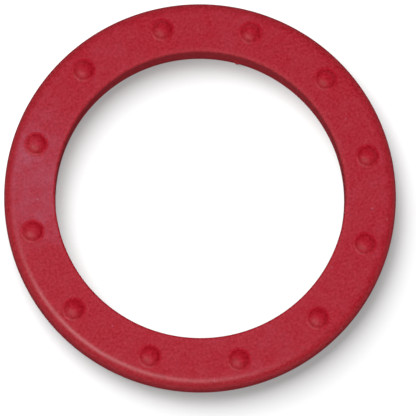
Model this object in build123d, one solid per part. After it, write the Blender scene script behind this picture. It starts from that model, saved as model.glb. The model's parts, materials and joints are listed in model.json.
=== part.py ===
from build123d import *
from math import asin, degrees, sqrt
import os

# Nubbed rubber ring: a flat solid-rubber band with a circle of domed nubs on its upper face.
# Frame: millimetres, +Z up, origin on the ring's axis in the plane of its flat underside.
# Nub 01 stands on the +X axis and the numbers run anticlockwise seen from above.

# Band
outer_diameter = 150.0      # across the outer wall
band_width = 19.6           # outer wall to hole wall
thickness = 14.0            # flat underside to upper face
upper_rim_radius = 4.5      # rounding from the upper face into the outer wall
lower_rim_radius = 3.0      # rounding from the outer wall into the underside
lip_radius = 0.4            # rounding of both edges of the hole

# Nubs
nub_count = 12
nub_height = 2.1            # top of the dome above the upper face
nub_dome_radius = 4.7
nub_fillet_radius = 1.9     # hollow rounding where the dome runs out into the face
nub_to_rim_gap = 0.1        # flat left between a nub's foot and the start of the rim rounding

# Root: the short plug below each dome, which sits in a pocket of the same shape in the band
nub_root_depth = 3.0
nub_root_chamfer = 0.6      # on the root's lower edge
nub_root_clearance = 0.02   # round the root's side; its floor rests on the pocket's floor

# Worked out from the values above
outer_radius = outer_diameter / 2
hole_radius = outer_radius - band_width
dome_centre_height = nub_height - nub_dome_radius
fillet_centre_reach = nub_dome_radius + nub_fillet_radius
nub_foot_radius = sqrt(fillet_centre_reach ** 2 - (nub_fillet_radius - dome_centre_height) ** 2)
nub_circle_radius = outer_radius - upper_rim_radius - nub_to_rim_gap - nub_foot_radius


def band_section():
    """The band's cross-section on the XZ plane, where X is the distance from the ring's axis."""
    with BuildSketch(Plane.XZ) as section:
        with Locations((outer_radius - band_width / 2, thickness / 2)):
            Rectangle(band_width, thickness)
        lip_corners = section.vertices().sort_by(Axis.X)[:2]
        fillet(lip_corners, lip_radius)
        lower_rim, upper_rim = section.vertices().sort_by(Axis.X)[-2:].sort_by(Axis.Z)
        fillet(upper_rim, upper_rim_radius)
        fillet(lower_rim, lower_rim_radius)
    return section.sketch


def root_outline(radius):
    """Half outline of a root or its pocket, from the axis down and out to the face at height 0."""
    return Polyline((0, -nub_root_depth),
                    (radius - nub_root_chamfer, -nub_root_depth),
                    (radius, nub_root_chamfer - nub_root_depth),
                    (radius, 0))


def root_pocket():
    """The space that one nub's root sits in."""
    radius = nub_foot_radius + nub_root_clearance
    with BuildPart() as pocket:
        with BuildSketch(Plane.XZ):
            with BuildLine():
                root_outline(radius)
                Polyline((radius, 0), (0, 0), (0, -nub_root_depth))
            make_face()
        revolve(axis=Axis.Z)
    return pocket.part


def nub():
    """One nub: the root, a hollow fillet that leaves the face level, and the dome."""
    lean = degrees(asin(nub_foot_radius / fillet_centre_reach))
    with BuildPart() as piece:
        with BuildSketch(Plane.XZ):
            with BuildLine():
                root_outline(nub_foot_radius)
                CenterArc((nub_foot_radius, nub_fillet_radius), nub_fillet_radius,
                          270 - lean, lean)
                CenterArc((0, dome_centre_height), nub_dome_radius, 90 - lean, lean)
                Line((0, nub_height), (0, -nub_root_depth))
            make_face()
        revolve(axis=Axis.Z)
    return piece.part


def nub_places():
    """Where the nubs stand: evenly round one circle, in the plane of the upper face."""
    with Locations((0, 0, thickness)):
        return PolarLocations(nub_circle_radius, nub_count).locations


def ring_band(places):
    """The solid rubber band with a pocket for each nub's root."""
    band = revolve(band_section(), axis=Axis.Z)
    pocket = root_pocket()
    for place in places:
        band -= place * pocket
    return band


def write_node(name, shape):
    """Write one named piece as its own STEP file."""
    export_step(shape, f"parts/{name}.step")


os.makedirs("parts", exist_ok=True)
places = nub_places()
write_node("ring_band", ring_band(places))
for number, place in enumerate(places, start=1):
    write_node(f"nub_{number:02d}", place * nub())
print(f"hole diameter {2 * hole_radius:.2f}, nub circle diameter {2 * nub_circle_radius:.2f}, "
      f"nub foot diameter {2 * nub_foot_radius:.2f}")
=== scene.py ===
import json
from math import asin, ceil, cos, degrees, exp, hypot, pi, radians, sin

import bmesh
import bpy
from mathutils import Matrix, Vector, noise
from mathutils.geometry import delaunay_2d_cdt


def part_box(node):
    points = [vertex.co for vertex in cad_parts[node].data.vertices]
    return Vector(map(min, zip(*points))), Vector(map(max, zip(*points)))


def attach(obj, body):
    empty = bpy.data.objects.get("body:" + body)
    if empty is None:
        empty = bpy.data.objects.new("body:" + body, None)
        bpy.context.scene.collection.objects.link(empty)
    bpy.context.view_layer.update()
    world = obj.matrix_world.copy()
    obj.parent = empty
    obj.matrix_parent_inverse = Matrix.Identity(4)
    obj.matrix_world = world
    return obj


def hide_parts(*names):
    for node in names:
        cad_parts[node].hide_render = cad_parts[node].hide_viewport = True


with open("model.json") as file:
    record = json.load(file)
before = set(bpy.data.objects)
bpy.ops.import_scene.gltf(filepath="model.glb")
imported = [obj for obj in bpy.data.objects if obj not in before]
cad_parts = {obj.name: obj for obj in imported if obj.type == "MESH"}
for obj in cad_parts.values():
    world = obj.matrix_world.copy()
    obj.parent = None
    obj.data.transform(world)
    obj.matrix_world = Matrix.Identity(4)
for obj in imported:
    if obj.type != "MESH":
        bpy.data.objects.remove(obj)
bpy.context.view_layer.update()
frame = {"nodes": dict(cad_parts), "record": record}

mm = 0.001               # sizes below are typed in millimetres


def hexToLinear(code):
    # an sRGB hex colour such as "AC2E3C" as the linear colour that a shader wants
    channels = [int(code[i:i + 2], 16) / 255 for i in (0, 2, 4)]
    return (*[c / 12.92 if c <= 0.04045 else ((c + 0.055) / 1.055) ** 2.4 for c in channels], 1.0)


def addNode(tree, kind, settings=None, inputs=(), output=0):
    # adds a node with its settings, and gives back one of its outputs. An input is another node's output,
    # a value or an sRGB hex colour; they come by name or number, or as a plain row from the first socket on
    node = tree.nodes.new(kind)
    for name, value in (settings or {}).items():
        setattr(node, name, value)
    for socket, value in inputs.items() if isinstance(inputs, dict) else enumerate(inputs):
        if isinstance(value, bpy.types.NodeSocket):
            tree.links.new(value, node.inputs[socket])
        else:
            node.inputs[socket].default_value = hexToLinear(value) if isinstance(value, str) else value
    return node.outputs[output]


def arcPoints(centre, radius, startDeg, endDeg, steps):
    # points on an arc of a profile, both ends included
    angles = [radians(startDeg + (endDeg - startDeg) * i / steps) for i in range(steps + 1)]
    return [(centre[0] + radius * cos(a), centre[1] + radius * sin(a)) for a in angles]


def pointsBetween(start, end, steps):
    # evenly spaced points of a profile between two ends, neither of them included
    return [(start[0] + (end[0] - start[0]) * i / steps, start[1] + (end[1] - start[1]) * i / steps)
            for i in range(1, steps)]


def latheRows(mesh, profile, count, centre=(0.0, 0.0)):
    # one ring of vertices for each profile point, with faces between neighbouring rings
    turns = [2 * pi * i / count for i in range(count)]
    rows = [[mesh.verts.new((centre[0] + r * cos(t), centre[1] + r * sin(t), z)) for t in turns]
            for r, z in profile]
    for low, high in zip(rows, rows[1:]):
        for i in range(count):
            k = (i + 1) % count
            mesh.faces.new((low[i], low[k], high[k], high[i]))
    return rows


def finishPiece(name, mesh, material, node, creaseDeg=40):
    # closes off one piece: metres, smooth faces with sharp creases, its slot, its body, its CAD node
    bmesh.ops.recalc_face_normals(mesh, faces=mesh.faces[:])
    bmesh.ops.scale(mesh, vec=(mm, mm, mm), verts=mesh.verts[:])
    data = bpy.data.meshes.new(name)
    mesh.to_mesh(data)
    mesh.free()
    data.shade_smooth()
    data.set_sharp_from_angle(angle=radians(creaseDeg))
    data.materials.append(material)
    piece = bpy.data.objects.new(name, data)
    bpy.context.scene.collection.objects.link(piece)
    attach(piece, "root")
    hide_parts(node)
    return piece


# Sizes that the frame gives
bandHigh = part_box("ring_band")[1]
outerRadius = bandHigh.x / mm
bandTop = bandHigh.z / mm
holeRadius = next(m for m in frame["record"]["mounts"] if m["name"] == "hole")["dims"]["r_mm"]
nubNodes = sorted(name for name in frame["nodes"] if name.startswith("nub_"))
nubBoxes = {name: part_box(name) for name in nubNodes}
nubPlaces = {name: ((low.x + high.x) / 2 / mm, (low.y + high.y) / 2 / mm)
             for name, (low, high) in nubBoxes.items()}
firstLow, firstHigh = nubBoxes[nubNodes[0]]
nubTop = firstHigh.z / mm - bandTop
nubRootDepth = bandTop - firstLow.z / mm
nubFootRadius = (firstHigh.y - firstLow.y) / 2 / mm
print("stage 1: frame loaded, ring", round(2 * outerRadius, 1), "mm across,", len(frame["nodes"]), "nodes")


# The mould's hand-cut surface: slow, shallow hollows, the same for the band and the nubs that stand on it
surface = dict(
    hollowDepth=0.09,      # how far the rubber sinks below the nominal surface at most
    hollowWidth=14.0,      # from one hollow to the next
    hollowContrast=0.9,    # how fully the hollows use that depth
    crownWidth=8.0,        # the outermost stretch of the face, which falls away towards the rim
    crownDepth=0.30,
    seed=3.7,
)


def sinkAt(x, y):
    # how far the hollows and the crown lower the face at one place
    place = Vector((x, y, surface["seed"])) / surface["hollowWidth"]
    hollow = min(1.0, max(0.0, 0.5 + surface["hollowContrast"] * noise.noise(place)))
    past = max(0.0, hypot(x, y) - outerRadius + surface["crownWidth"]) / surface["crownWidth"]
    return surface["hollowDepth"] * hollow + surface["crownDepth"] * past ** 2


def settleSurface(mesh):
    # presses every vertex of the upper half down, more the higher it is
    for vert in mesh.verts:
        share = min(1.0, max(0.0, (vert.co.z - bandTop / 2) / (bandTop / 2)))
        vert.co.z -= share * sinkAt(vert.co.x, vert.co.y)


band = dict(
    upperRim=4.5,          # rounding from the upper face into the outer wall
    lowerRim=3.0,
    lip=0.4,               # rounding of the hole's lower edge
    wornLip=1.1,           # rounding of its upper edge, worn round by handling
    segments=600,
    profileSteps=dict(wornLip=9, holeWall=22, lip=7, underside=14, lowerRim=14, outerWall=3, upperRim=22),
    faceSpacing=0.9,       # triangle size on the upper face
    seamWidth=0.5,         # witness line of the mould's two halves, round the outer wall
    seamProud=0.07,
    gateDeg=62.0,          # where the rubber was let into the mould, at the hole's wall
    gateWidth=1.0,
    gateProud=1.0,
    gateHeight=3.0,        # above the underside
    rootGap=0.02,          # round each nub's root
    pocketChamfer=0.6,     # round the floor of each pocket
    pocketSegments=64,
    pocketMargin=1.08,     # kept free of the face's own points, round each pocket
    weld=1e-4,             # points closer than this become one
)


def bandProfile(d):
    # from the upper face's hole edge, down the hole, under the band and up to the face's outer edge
    wall = outerRadius - d["seamProud"]
    seam = bandTop / 2
    steps = d["profileSteps"]
    points = arcPoints((holeRadius + d["wornLip"], bandTop - d["wornLip"]), d["wornLip"],
                       90, 180, steps["wornLip"])
    points += pointsBetween(points[-1], (holeRadius, d["lip"]), steps["holeWall"])
    points += arcPoints((holeRadius + d["lip"], d["lip"]), d["lip"], 180, 270, steps["lip"])
    points += pointsBetween(points[-1], (wall - d["lowerRim"], 0), steps["underside"])
    points += arcPoints((wall - d["lowerRim"], d["lowerRim"]), d["lowerRim"], 270, 360, steps["lowerRim"])
    seamBump = [(-0.5, 0), (-0.25, 0.75), (0, 1), (0.25, 0.75), (0.5, 0)]     # shares of its width and height
    points += pointsBetween(points[-1], (wall, seam - d["seamWidth"] / 2), steps["outerWall"])
    points += [(wall + d["seamProud"] * rise, seam + d["seamWidth"] * step) for step, rise in seamBump]
    points += arcPoints((wall - d["upperRim"], bandTop - d["upperRim"]), d["upperRim"],
                        0, 90, steps["upperRim"])
    return points


def faceEdges(d):
    # radii of the upper face's inner and outer edges
    return holeRadius + d["wornLip"], outerRadius - d["seamProud"] - d["upperRim"]


def faceGrid(d, pocketRadius):
    # the face's own points: staggered rows round the ring that leave room for the pockets
    inner, outer = faceEdges(d)
    rows = ceil((outer - inner) / d["faceSpacing"])
    points = []
    for row in range(1, rows):
        radius = inner + (outer - inner) * row / rows
        count = round(2 * pi * radius / d["faceSpacing"])
        for i in range(count):
            turn = 2 * pi * (i + 0.5 * (row % 2)) / count
            spot = (radius * cos(turn), radius * sin(turn))
            if all(hypot(spot[0] - x, spot[1] - y) > pocketRadius + d["pocketMargin"]
                   for x, y in nubPlaces.values()):
                points.append(spot)
    return points


def circlePoints(radius, centre, count):
    turns = [2 * pi * i / count for i in range(count)]
    return [(centre[0] + radius * cos(t), centre[1] + radius * sin(t)) for t in turns]


def addUpperFace(mesh, d, pocketRadius):
    # a triangulated flat with twelve round holes, where the nubs' roots go in
    inner, outer = faceEdges(d)
    loops = [circlePoints(radius, (0, 0), d["segments"]) for radius in (inner, outer)]
    loops += [circlePoints(pocketRadius, place, d["pocketSegments"]) for place in nubPlaces.values()]
    points, edges = [], []
    for loop in loops:
        start = len(points)
        points += loop
        edges += [(start + i, start + (i + 1) % len(loop)) for i in range(len(loop))]
    points += faceGrid(d, pocketRadius)
    flat, _, triangles, *_ = delaunay_2d_cdt([Vector(p) for p in points], edges, [], 0, d["weld"] / 10)
    verts = [mesh.verts.new((p.x, p.y, bandTop)) for p in flat]
    pocketInside = pocketRadius * cos(pi / d["pocketSegments"])
    for triangle in triangles:
        middle = sum((flat[i] for i in triangle), Vector((0, 0))) / 3
        inBand = inner < middle.length < outer
        inPocket = any(hypot(middle.x - x, middle.y - y) < pocketInside for x, y in nubPlaces.values())
        if inBand and not inPocket:
            mesh.faces.new([verts[i] for i in triangle])
    for vert in [v for v in verts if not v.link_faces]:
        mesh.verts.remove(vert)


def addPockets(mesh, d, pocketRadius):
    floor = bandTop - nubRootDepth
    profile = [(pocketRadius, bandTop), (pocketRadius, floor + d["pocketChamfer"]),
               (pocketRadius - d["pocketChamfer"], floor)]
    for place in nubPlaces.values():
        rows = latheRows(mesh, profile, d["pocketSegments"], place)
        mesh.faces.new(rows[-1])


def growGate(mesh, d):
    # the torn stub of rubber left where the mould was filled
    around = radians(d["gateDeg"])
    spot = Vector((holeRadius * cos(around), holeRadius * sin(around), d["gateHeight"]))
    inward = Vector((-spot.x, -spot.y, 0)).normalized()
    reach = 3 * d["gateWidth"]           # beyond this the stub has died away
    for vert in mesh.verts:
        away = (vert.co - spot).length
        if away < reach:
            vert.co += inward * d["gateProud"] * exp(-(away / d["gateWidth"]) ** 2)


def makeBand(d, material):
    mesh = bmesh.new()
    pocketRadius = nubFootRadius + d["rootGap"]
    latheRows(mesh, bandProfile(d), d["segments"])
    addUpperFace(mesh, d, pocketRadius)
    addPockets(mesh, d, pocketRadius)
    bmesh.ops.remove_doubles(mesh, verts=mesh.verts[:], dist=d["weld"])
    growGate(mesh, d)
    settleSurface(mesh)
    return finishPiece("ringBand", mesh, material, "ring_band")


nub = dict(
    domeRadius=4.7,
    footFillet=1.9,
    rootChamfer=0.6,
    segments=64,
    profileSteps=dict(fillet=9, dome=22),
    shortest=0.12,         # how much lower than nominal a nub may have come out of the mould
    lean=0.10,             # how far a dome's top may sit off centre
    cutStep=(1.7, 0.9),    # from one nub to the next in the noise that both are drawn from
    cutSeed=0.3,
)


def nubProfile(d):
    # from the foot's outer edge up the hollow fillet and over the dome, without the top point
    domeCentre = nubTop - d["domeRadius"]
    lean = degrees(asin(nubFootRadius / (d["domeRadius"] + d["footFillet"])))
    fillet = arcPoints((nubFootRadius, d["footFillet"]), d["footFillet"], 270, 270 - lean,
                       d["profileSteps"]["fillet"])
    dome = arcPoints((0, domeCentre), d["domeRadius"], 90 - lean, 90, d["profileSteps"]["dome"])
    return fillet + dome[1:-1]


def makeNub(name, number, d, material):
    mesh = bmesh.new()
    x, y = nubPlaces[name]
    root = [(nubFootRadius - d["rootChamfer"], -nubRootDepth),
            (nubFootRadius, d["rootChamfer"] - nubRootDepth)]
    rows = latheRows(mesh, root + nubProfile(d), d["segments"])
    tip = mesh.verts.new((0, 0, nubTop))
    for i in range(d["segments"]):
        mesh.faces.new((rows[-1][i], rows[-1][(i + 1) % d["segments"]], tip))
    mesh.faces.new(list(reversed(rows[0])))
    # each nub's hole in the mould was cut by hand
    cut = Vector((number * d["cutStep"][0], number * d["cutStep"][1], d["cutSeed"]))
    short = d["shortest"] * (0.5 + 0.5 * noise.noise(cut))
    aside = [noise.noise(cut + Vector(offset)) * d["lean"] for offset in ((5, 0, 0), (0, 5, 0))]
    for vert in mesh.verts:
        rise = max(0.0, vert.co.z / nubTop)
        vert.co += Vector((*aside, 0)) * rise ** 2
        vert.co.z -= short * rise
        vert.co += Vector((x, y, bandTop))
    settleSurface(mesh)
    return finishPiece("nub" + name[-2:], mesh, material, name)


# Natural rubber, compression moulded and red all through. The mould was bead blasted, so the skin is
# satin with a fine mottle, and wax has come out of the rubber as a pale bluish bloom. The same pale colour
# is also painted sheen from the overhead lights: it lies only on faces that look up, so steep ones show the
# clean red.
rubber = dict(
    deepRed="9A0516",      # the two ends of the mottle
    paleRed="B62A38",
    # pale bluish colour, part real bloom and part painted sheen
    bloomAndSheen="B59AB8",
    bloomAndSheenAmount=0.027,
    bloomAndSheenUp=(0.80, 0.99),      # how level a face is where the bloom and painted sheen start and where they are full
    sheenPoolDeg=160.0,            # the side with a painted pool of sheen, where the pale colour is thicker
    sheenPoolInset=8.0,            # mm, from the outer wall to the middle of that side
    sheenPoolReach=(12.0, 34.0),   # mm, from there to where it starts to thin out and where it ends
    sheenPoolExtra=2.9,
    # the patterns: mm across, levels of detail, how strong the finer levels are
    patches=(22.0, 2.0, 0.5),
    clouds=(5.0, 4.0, 0.75),
    mottle=(1.0, 2.0, 0.6),    # coarser than the real 0.1 mm blasting, so that it shows
    patternEnds=(0.3, 0.7),    # a pattern's values hardly leave this range
    mottleEnds=(0.28, 0.72),
    patchBloomAndSheen=(0.6, 1.3),     # share of the bloom and painted sheen at either end
    cloudBloomAndSheen=(0.45, 1.6),
    speckSpacing=7.0,          # mm, pale specks of lint and chalk
    speckSize=0.42,            # mm
    speckStrength=0.22,
    ior=1.52,
    roughness=0.41,
    cloudRoughness=(-0.03, 0.05),  # what the clouds add to it
    edgeRoughness=0.24,            # what the hole's worn upper edge adds
    edgeFrom=(0.05, 0.35),         # mm from the hole's wall, where that edge starts
    edgeTo=(1.1, 2.2),             # mm, where it ends
    pebbleHeight=0.03,             # mm
    pebbleStrength=0.5,
)
# The nubs do the work, so they are rubbed duller than the face, with less bloom and painted sheen on them.
nubRubber = {**rubber, "deepRed": "980012", "paleRed": "B81E32", "bloomAndSheenAmount": 0.008, "roughness": 0.56}


def bloomAndSheenShare(tree, d, place, patches, clouds):
    # how much bloom and painted sheen lie at each place: level, patchy, cloudy, and more in the painted sheen
    # pool
    normal = addNode(tree, "ShaderNodeNewGeometry", output="Normal")
    up = addNode(tree, "ShaderNodeSeparateXYZ", inputs=(normal,), output="Z")
    # a painted pool of sheen: the pale colour grows thicker towards one side of the face
    around = radians(d["sheenPoolDeg"])
    middle = (outerRadius - d["sheenPoolInset"]) * mm
    sheenPool = (middle * cos(around), middle * sin(around), bandTop * mm)
    away = addNode(tree, "ShaderNodeVectorMath", {"operation": "DISTANCE"}, (place, sheenPool), "Value")
    near, far = (r * mm for r in d["sheenPoolReach"])
    share = d["bloomAndSheenAmount"]
    # the level-face factor paints the overhead lights' sheen onto faces that look up
    for source, *ends in ((up, *d["bloomAndSheenUp"], 0.0, 1.0),
                          (patches, *d["patternEnds"], *d["patchBloomAndSheen"]),
                          (clouds, *d["patternEnds"], *d["cloudBloomAndSheen"]),
                          (away, near, far, 1.0 + d["sheenPoolExtra"], 1.0)):
        factor = addNode(tree, "ShaderNodeMapRange", inputs=(source, *ends))
        share = addNode(tree, "ShaderNodeMath", {"operation": "MULTIPLY"}, (factor, share))
    return share


def speckShare(tree, d, place):
    # a small pale speck at each point of a loose scatter
    away = addNode(tree, "ShaderNodeTexVoronoi", {"feature": "F1"},
                   {"Vector": place, "Scale": 1 / (d["speckSpacing"] * mm), "Randomness": 1.0}, "Distance")
    size = d["speckSize"] / d["speckSpacing"]
    return addNode(tree, "ShaderNodeMapRange", inputs=(away, size / 2, size, d["speckStrength"], 0.0))


def roughnessAt(tree, d, place, clouds):
    # satin all over, a little uneven with the clouds, and dull on the hole's worn upper edge
    flat = addNode(tree, "ShaderNodeVectorMath", {"operation": "MULTIPLY"}, (place, (1, 1, 0)), "Vector")
    reach = addNode(tree, "ShaderNodeVectorMath", {"operation": "LENGTH"}, (flat,), "Value")
    starts, ends = ([(holeRadius + r) * mm for r in d[key]] for key in ("edgeFrom", "edgeTo"))
    smooth, rough = (d["roughness"] + extra for extra in d["cloudRoughness"])
    skin = addNode(tree, "ShaderNodeMapRange", inputs=(clouds, *d["patternEnds"], smooth, rough))
    rise = addNode(tree, "ShaderNodeMapRange", inputs=(reach, *starts, 0.0, d["edgeRoughness"]))
    fall = addNode(tree, "ShaderNodeMapRange", inputs=(reach, *ends, 0.0, -d["edgeRoughness"]))
    edge = addNode(tree, "ShaderNodeMath", {"operation": "ADD"}, (rise, fall))
    return addNode(tree, "ShaderNodeMath", {"operation": "ADD"}, (skin, edge))


def makeRubber(name, d):
    material = bpy.data.materials.new(name)
    material.use_nodes = True
    tree = material.node_tree
    shader = tree.nodes["Principled BSDF"]
    place = addNode(tree, "ShaderNodeTexCoord", output="Object")
    patches, clouds, mottle = (
        addNode(tree, "ShaderNodeTexNoise", output="Fac", inputs={
            "Vector": place, "Scale": 1 / (size * mm), "Detail": detail, "Roughness": finer})
        for size, detail, finer in (d["patches"], d["clouds"], d["mottle"]))
    # colour: the mottled rubber, then the bloom and painted sheen on it, then a few specks
    tone = addNode(tree, "ShaderNodeMapRange", inputs=(mottle, *d["mottleEnds"], 0.0, 1.0))
    colour = d["deepRed"]
    for share, over in ((tone, d["paleRed"]),
                        (bloomAndSheenShare(tree, d, place, patches, clouds), d["bloomAndSheen"]),
                        (speckShare(tree, d, place), d["bloomAndSheen"])):
        colour = addNode(tree, "ShaderNodeMix", {"data_type": "RGBA"}, {0: share, 6: colour, 7: over}, 2)
    pebble = addNode(tree, "ShaderNodeBump", output="Normal", inputs={
        "Strength": d["pebbleStrength"], "Distance": d["pebbleHeight"] * mm, "Height": mottle})
    tree.links.new(colour, shader.inputs["Base Color"])
    tree.links.new(roughnessAt(tree, d, place, clouds), shader.inputs["Roughness"])
    tree.links.new(pebble, shader.inputs["Normal"])
    shader.inputs["IOR"].default_value = d["ior"]
    return material


redRubber = makeRubber("redNaturalRubber", rubber)
rubbedRubber = makeRubber("rubbedNaturalRubber", nubRubber)
print("stage 2: rubber mixed")
ringPieces = [makeBand(band, redRubber)]
print("stage 3: band moulded")
for number, name in enumerate(nubNodes, start=1):
    ringPieces.append(makeNub(name, number, nub, rubbedRubber))
print("stage 4:", len(nubNodes), "nubs moulded")


# Camera: nearly straight down on the ring, leaning a little towards the lower edge of its view
camera = dict(
    distance=2000.0,
    lens=452.0,            # mm on a 36 mm sensor
    clip=(50.0, 20000.0),
    turnDeg=12.9,          # how far nub 01 is turned up from the view's right-hand direction
    leanDeg=10.0,
    leanTowardDeg=266.0,   # direction in the view, anticlockwise from its right-hand side
    aim=(3.05, -4.15),     # where the view's middle falls, right of and below the ring's middle
)


def placeCamera(d):
    data = bpy.data.cameras.new("camera")
    data.lens = d["lens"]
    data.clip_start, data.clip_end = (limit * mm for limit in d["clip"])
    eye = bpy.data.objects.new("camera", data)
    bpy.context.scene.collection.objects.link(eye)
    toward = radians(d["leanTowardDeg"])
    leanAxis = Vector((-sin(toward), cos(toward), 0))
    turn = Matrix.Rotation(radians(-d["turnDeg"]), 3, "Z")
    basis = turn @ Matrix.Rotation(radians(d["leanDeg"]), 3, leanAxis)
    middle = Vector((0, 0, bandTop / 2)) + basis @ Vector((*d["aim"], 0))
    stand = middle + basis @ Vector((0, 0, d["distance"]))
    eye.matrix_world = Matrix.Translation(stand * mm) @ basis.to_4x4()
    bpy.context.scene.camera = eye


placeCamera(camera)

# Lights, each placed by its direction in the view (anticlockwise from the right) and its height angle.
# The ring and the paper have lights of their own, as in a table-top studio with the paper lit to white.
# A light that isn't mirrored adds no gloss, and one that isn't soft adds nothing else.
lights = dict(
    sky=dict(fromDeg=90, highDeg=90, far=1500, size=(3600, 3600), watts=61.5,
             on="ring", mirrored=False, soft=True),
    softbox=dict(fromDeg=214, highDeg=54, far=1300, size=(420, 420), watts=2.0,
                 on="ring", mirrored=True, soft=True),
    strip=dict(fromDeg=240, highDeg=54, far=1290, size=(1500, 360), watts=9.0,
               on="ring", mirrored=True, soft=False),
    paperKey=dict(fromDeg=127, highDeg=60, far=1500, size=(1200, 1200), watts=91.0,
                  on="paper", mirrored=False, soft=True),
)
lit = {group: bpy.data.collections.new(group + "Lit") for group in ("ring", "paper")}


def addLight(name, d):
    data = bpy.data.lights.new(name, "AREA")
    data.shape = "RECTANGLE"
    data.size, data.size_y = d["size"][0] * mm, d["size"][1] * mm
    data.energy = d["watts"]
    lamp = bpy.data.objects.new(name, data)
    bpy.context.scene.collection.objects.link(lamp)
    around = radians(d["fromDeg"] - camera["turnDeg"])
    high = radians(d["highDeg"])
    way = Vector((cos(high) * cos(around), cos(high) * sin(around), sin(high)))
    lamp.location = way * d["far"] * mm
    lamp.rotation_mode = "QUATERNION"
    lamp.rotation_quaternion = way.to_track_quat("Z", "Y")
    lamp.visible_glossy = d["mirrored"]
    lamp.visible_diffuse = d["soft"]
    data.cycles.use_multiple_importance_sampling = d["mirrored"]
    lamp.light_linking.receiver_collection = lit[d["on"]]


for piece in ringPieces:
    lit["ring"].objects.link(piece)
for name, d in lights.items():
    addLight(name, d)

paper = dict(
    across=12000.0,
    shade="8C8C8C",
    glow=0.33,             # the light that reaches it inside the ring's shadow
    roughness=0.95,
)


def layPaper(d):
    # a plain white sheet under the ring
    half = d["across"] / 2 * mm
    corners = [(-half, -half, 0), (half, -half, 0), (half, half, 0), (-half, half, 0)]
    data = bpy.data.meshes.new("paper")
    data.from_pydata(corners, [], [(0, 1, 2, 3)])
    sheet = bpy.data.objects.new("paper", data)
    bpy.context.scene.collection.objects.link(sheet)
    material = bpy.data.materials.new("matteWhitePaper")
    material.use_nodes = True
    shader = material.node_tree.nodes["Principled BSDF"]
    shader.inputs["Base Color"].default_value = hexToLinear(d["shade"])
    shader.inputs["Roughness"].default_value = d["roughness"]
    shader.inputs["Specular IOR Level"].default_value = 0.0
    shader.inputs["Emission Color"].default_value = (1, 1, 1, 1)
    shader.inputs["Emission Strength"].default_value = d["glow"]
    data.materials.append(material)
    sheet.visible_glossy = False         # keeps the paper's glare off the ring's rims
    lit["paper"].objects.link(sheet)


layPaper(paper)

room = bpy.data.worlds.new("room")     # white where the camera looks past the paper, and lights nothing
bpy.context.scene.world = room
room.use_nodes = True
room.node_tree.nodes["Background"].inputs["Color"].default_value = (1, 1, 1, 1)
for ray in ("diffuse", "glossy", "transmission", "scatter"):
    setattr(room.cycles_visibility, ray, False)
bpy.context.scene.view_settings.view_transform = "Standard"
print("stage 5: camera, lights and paper set")
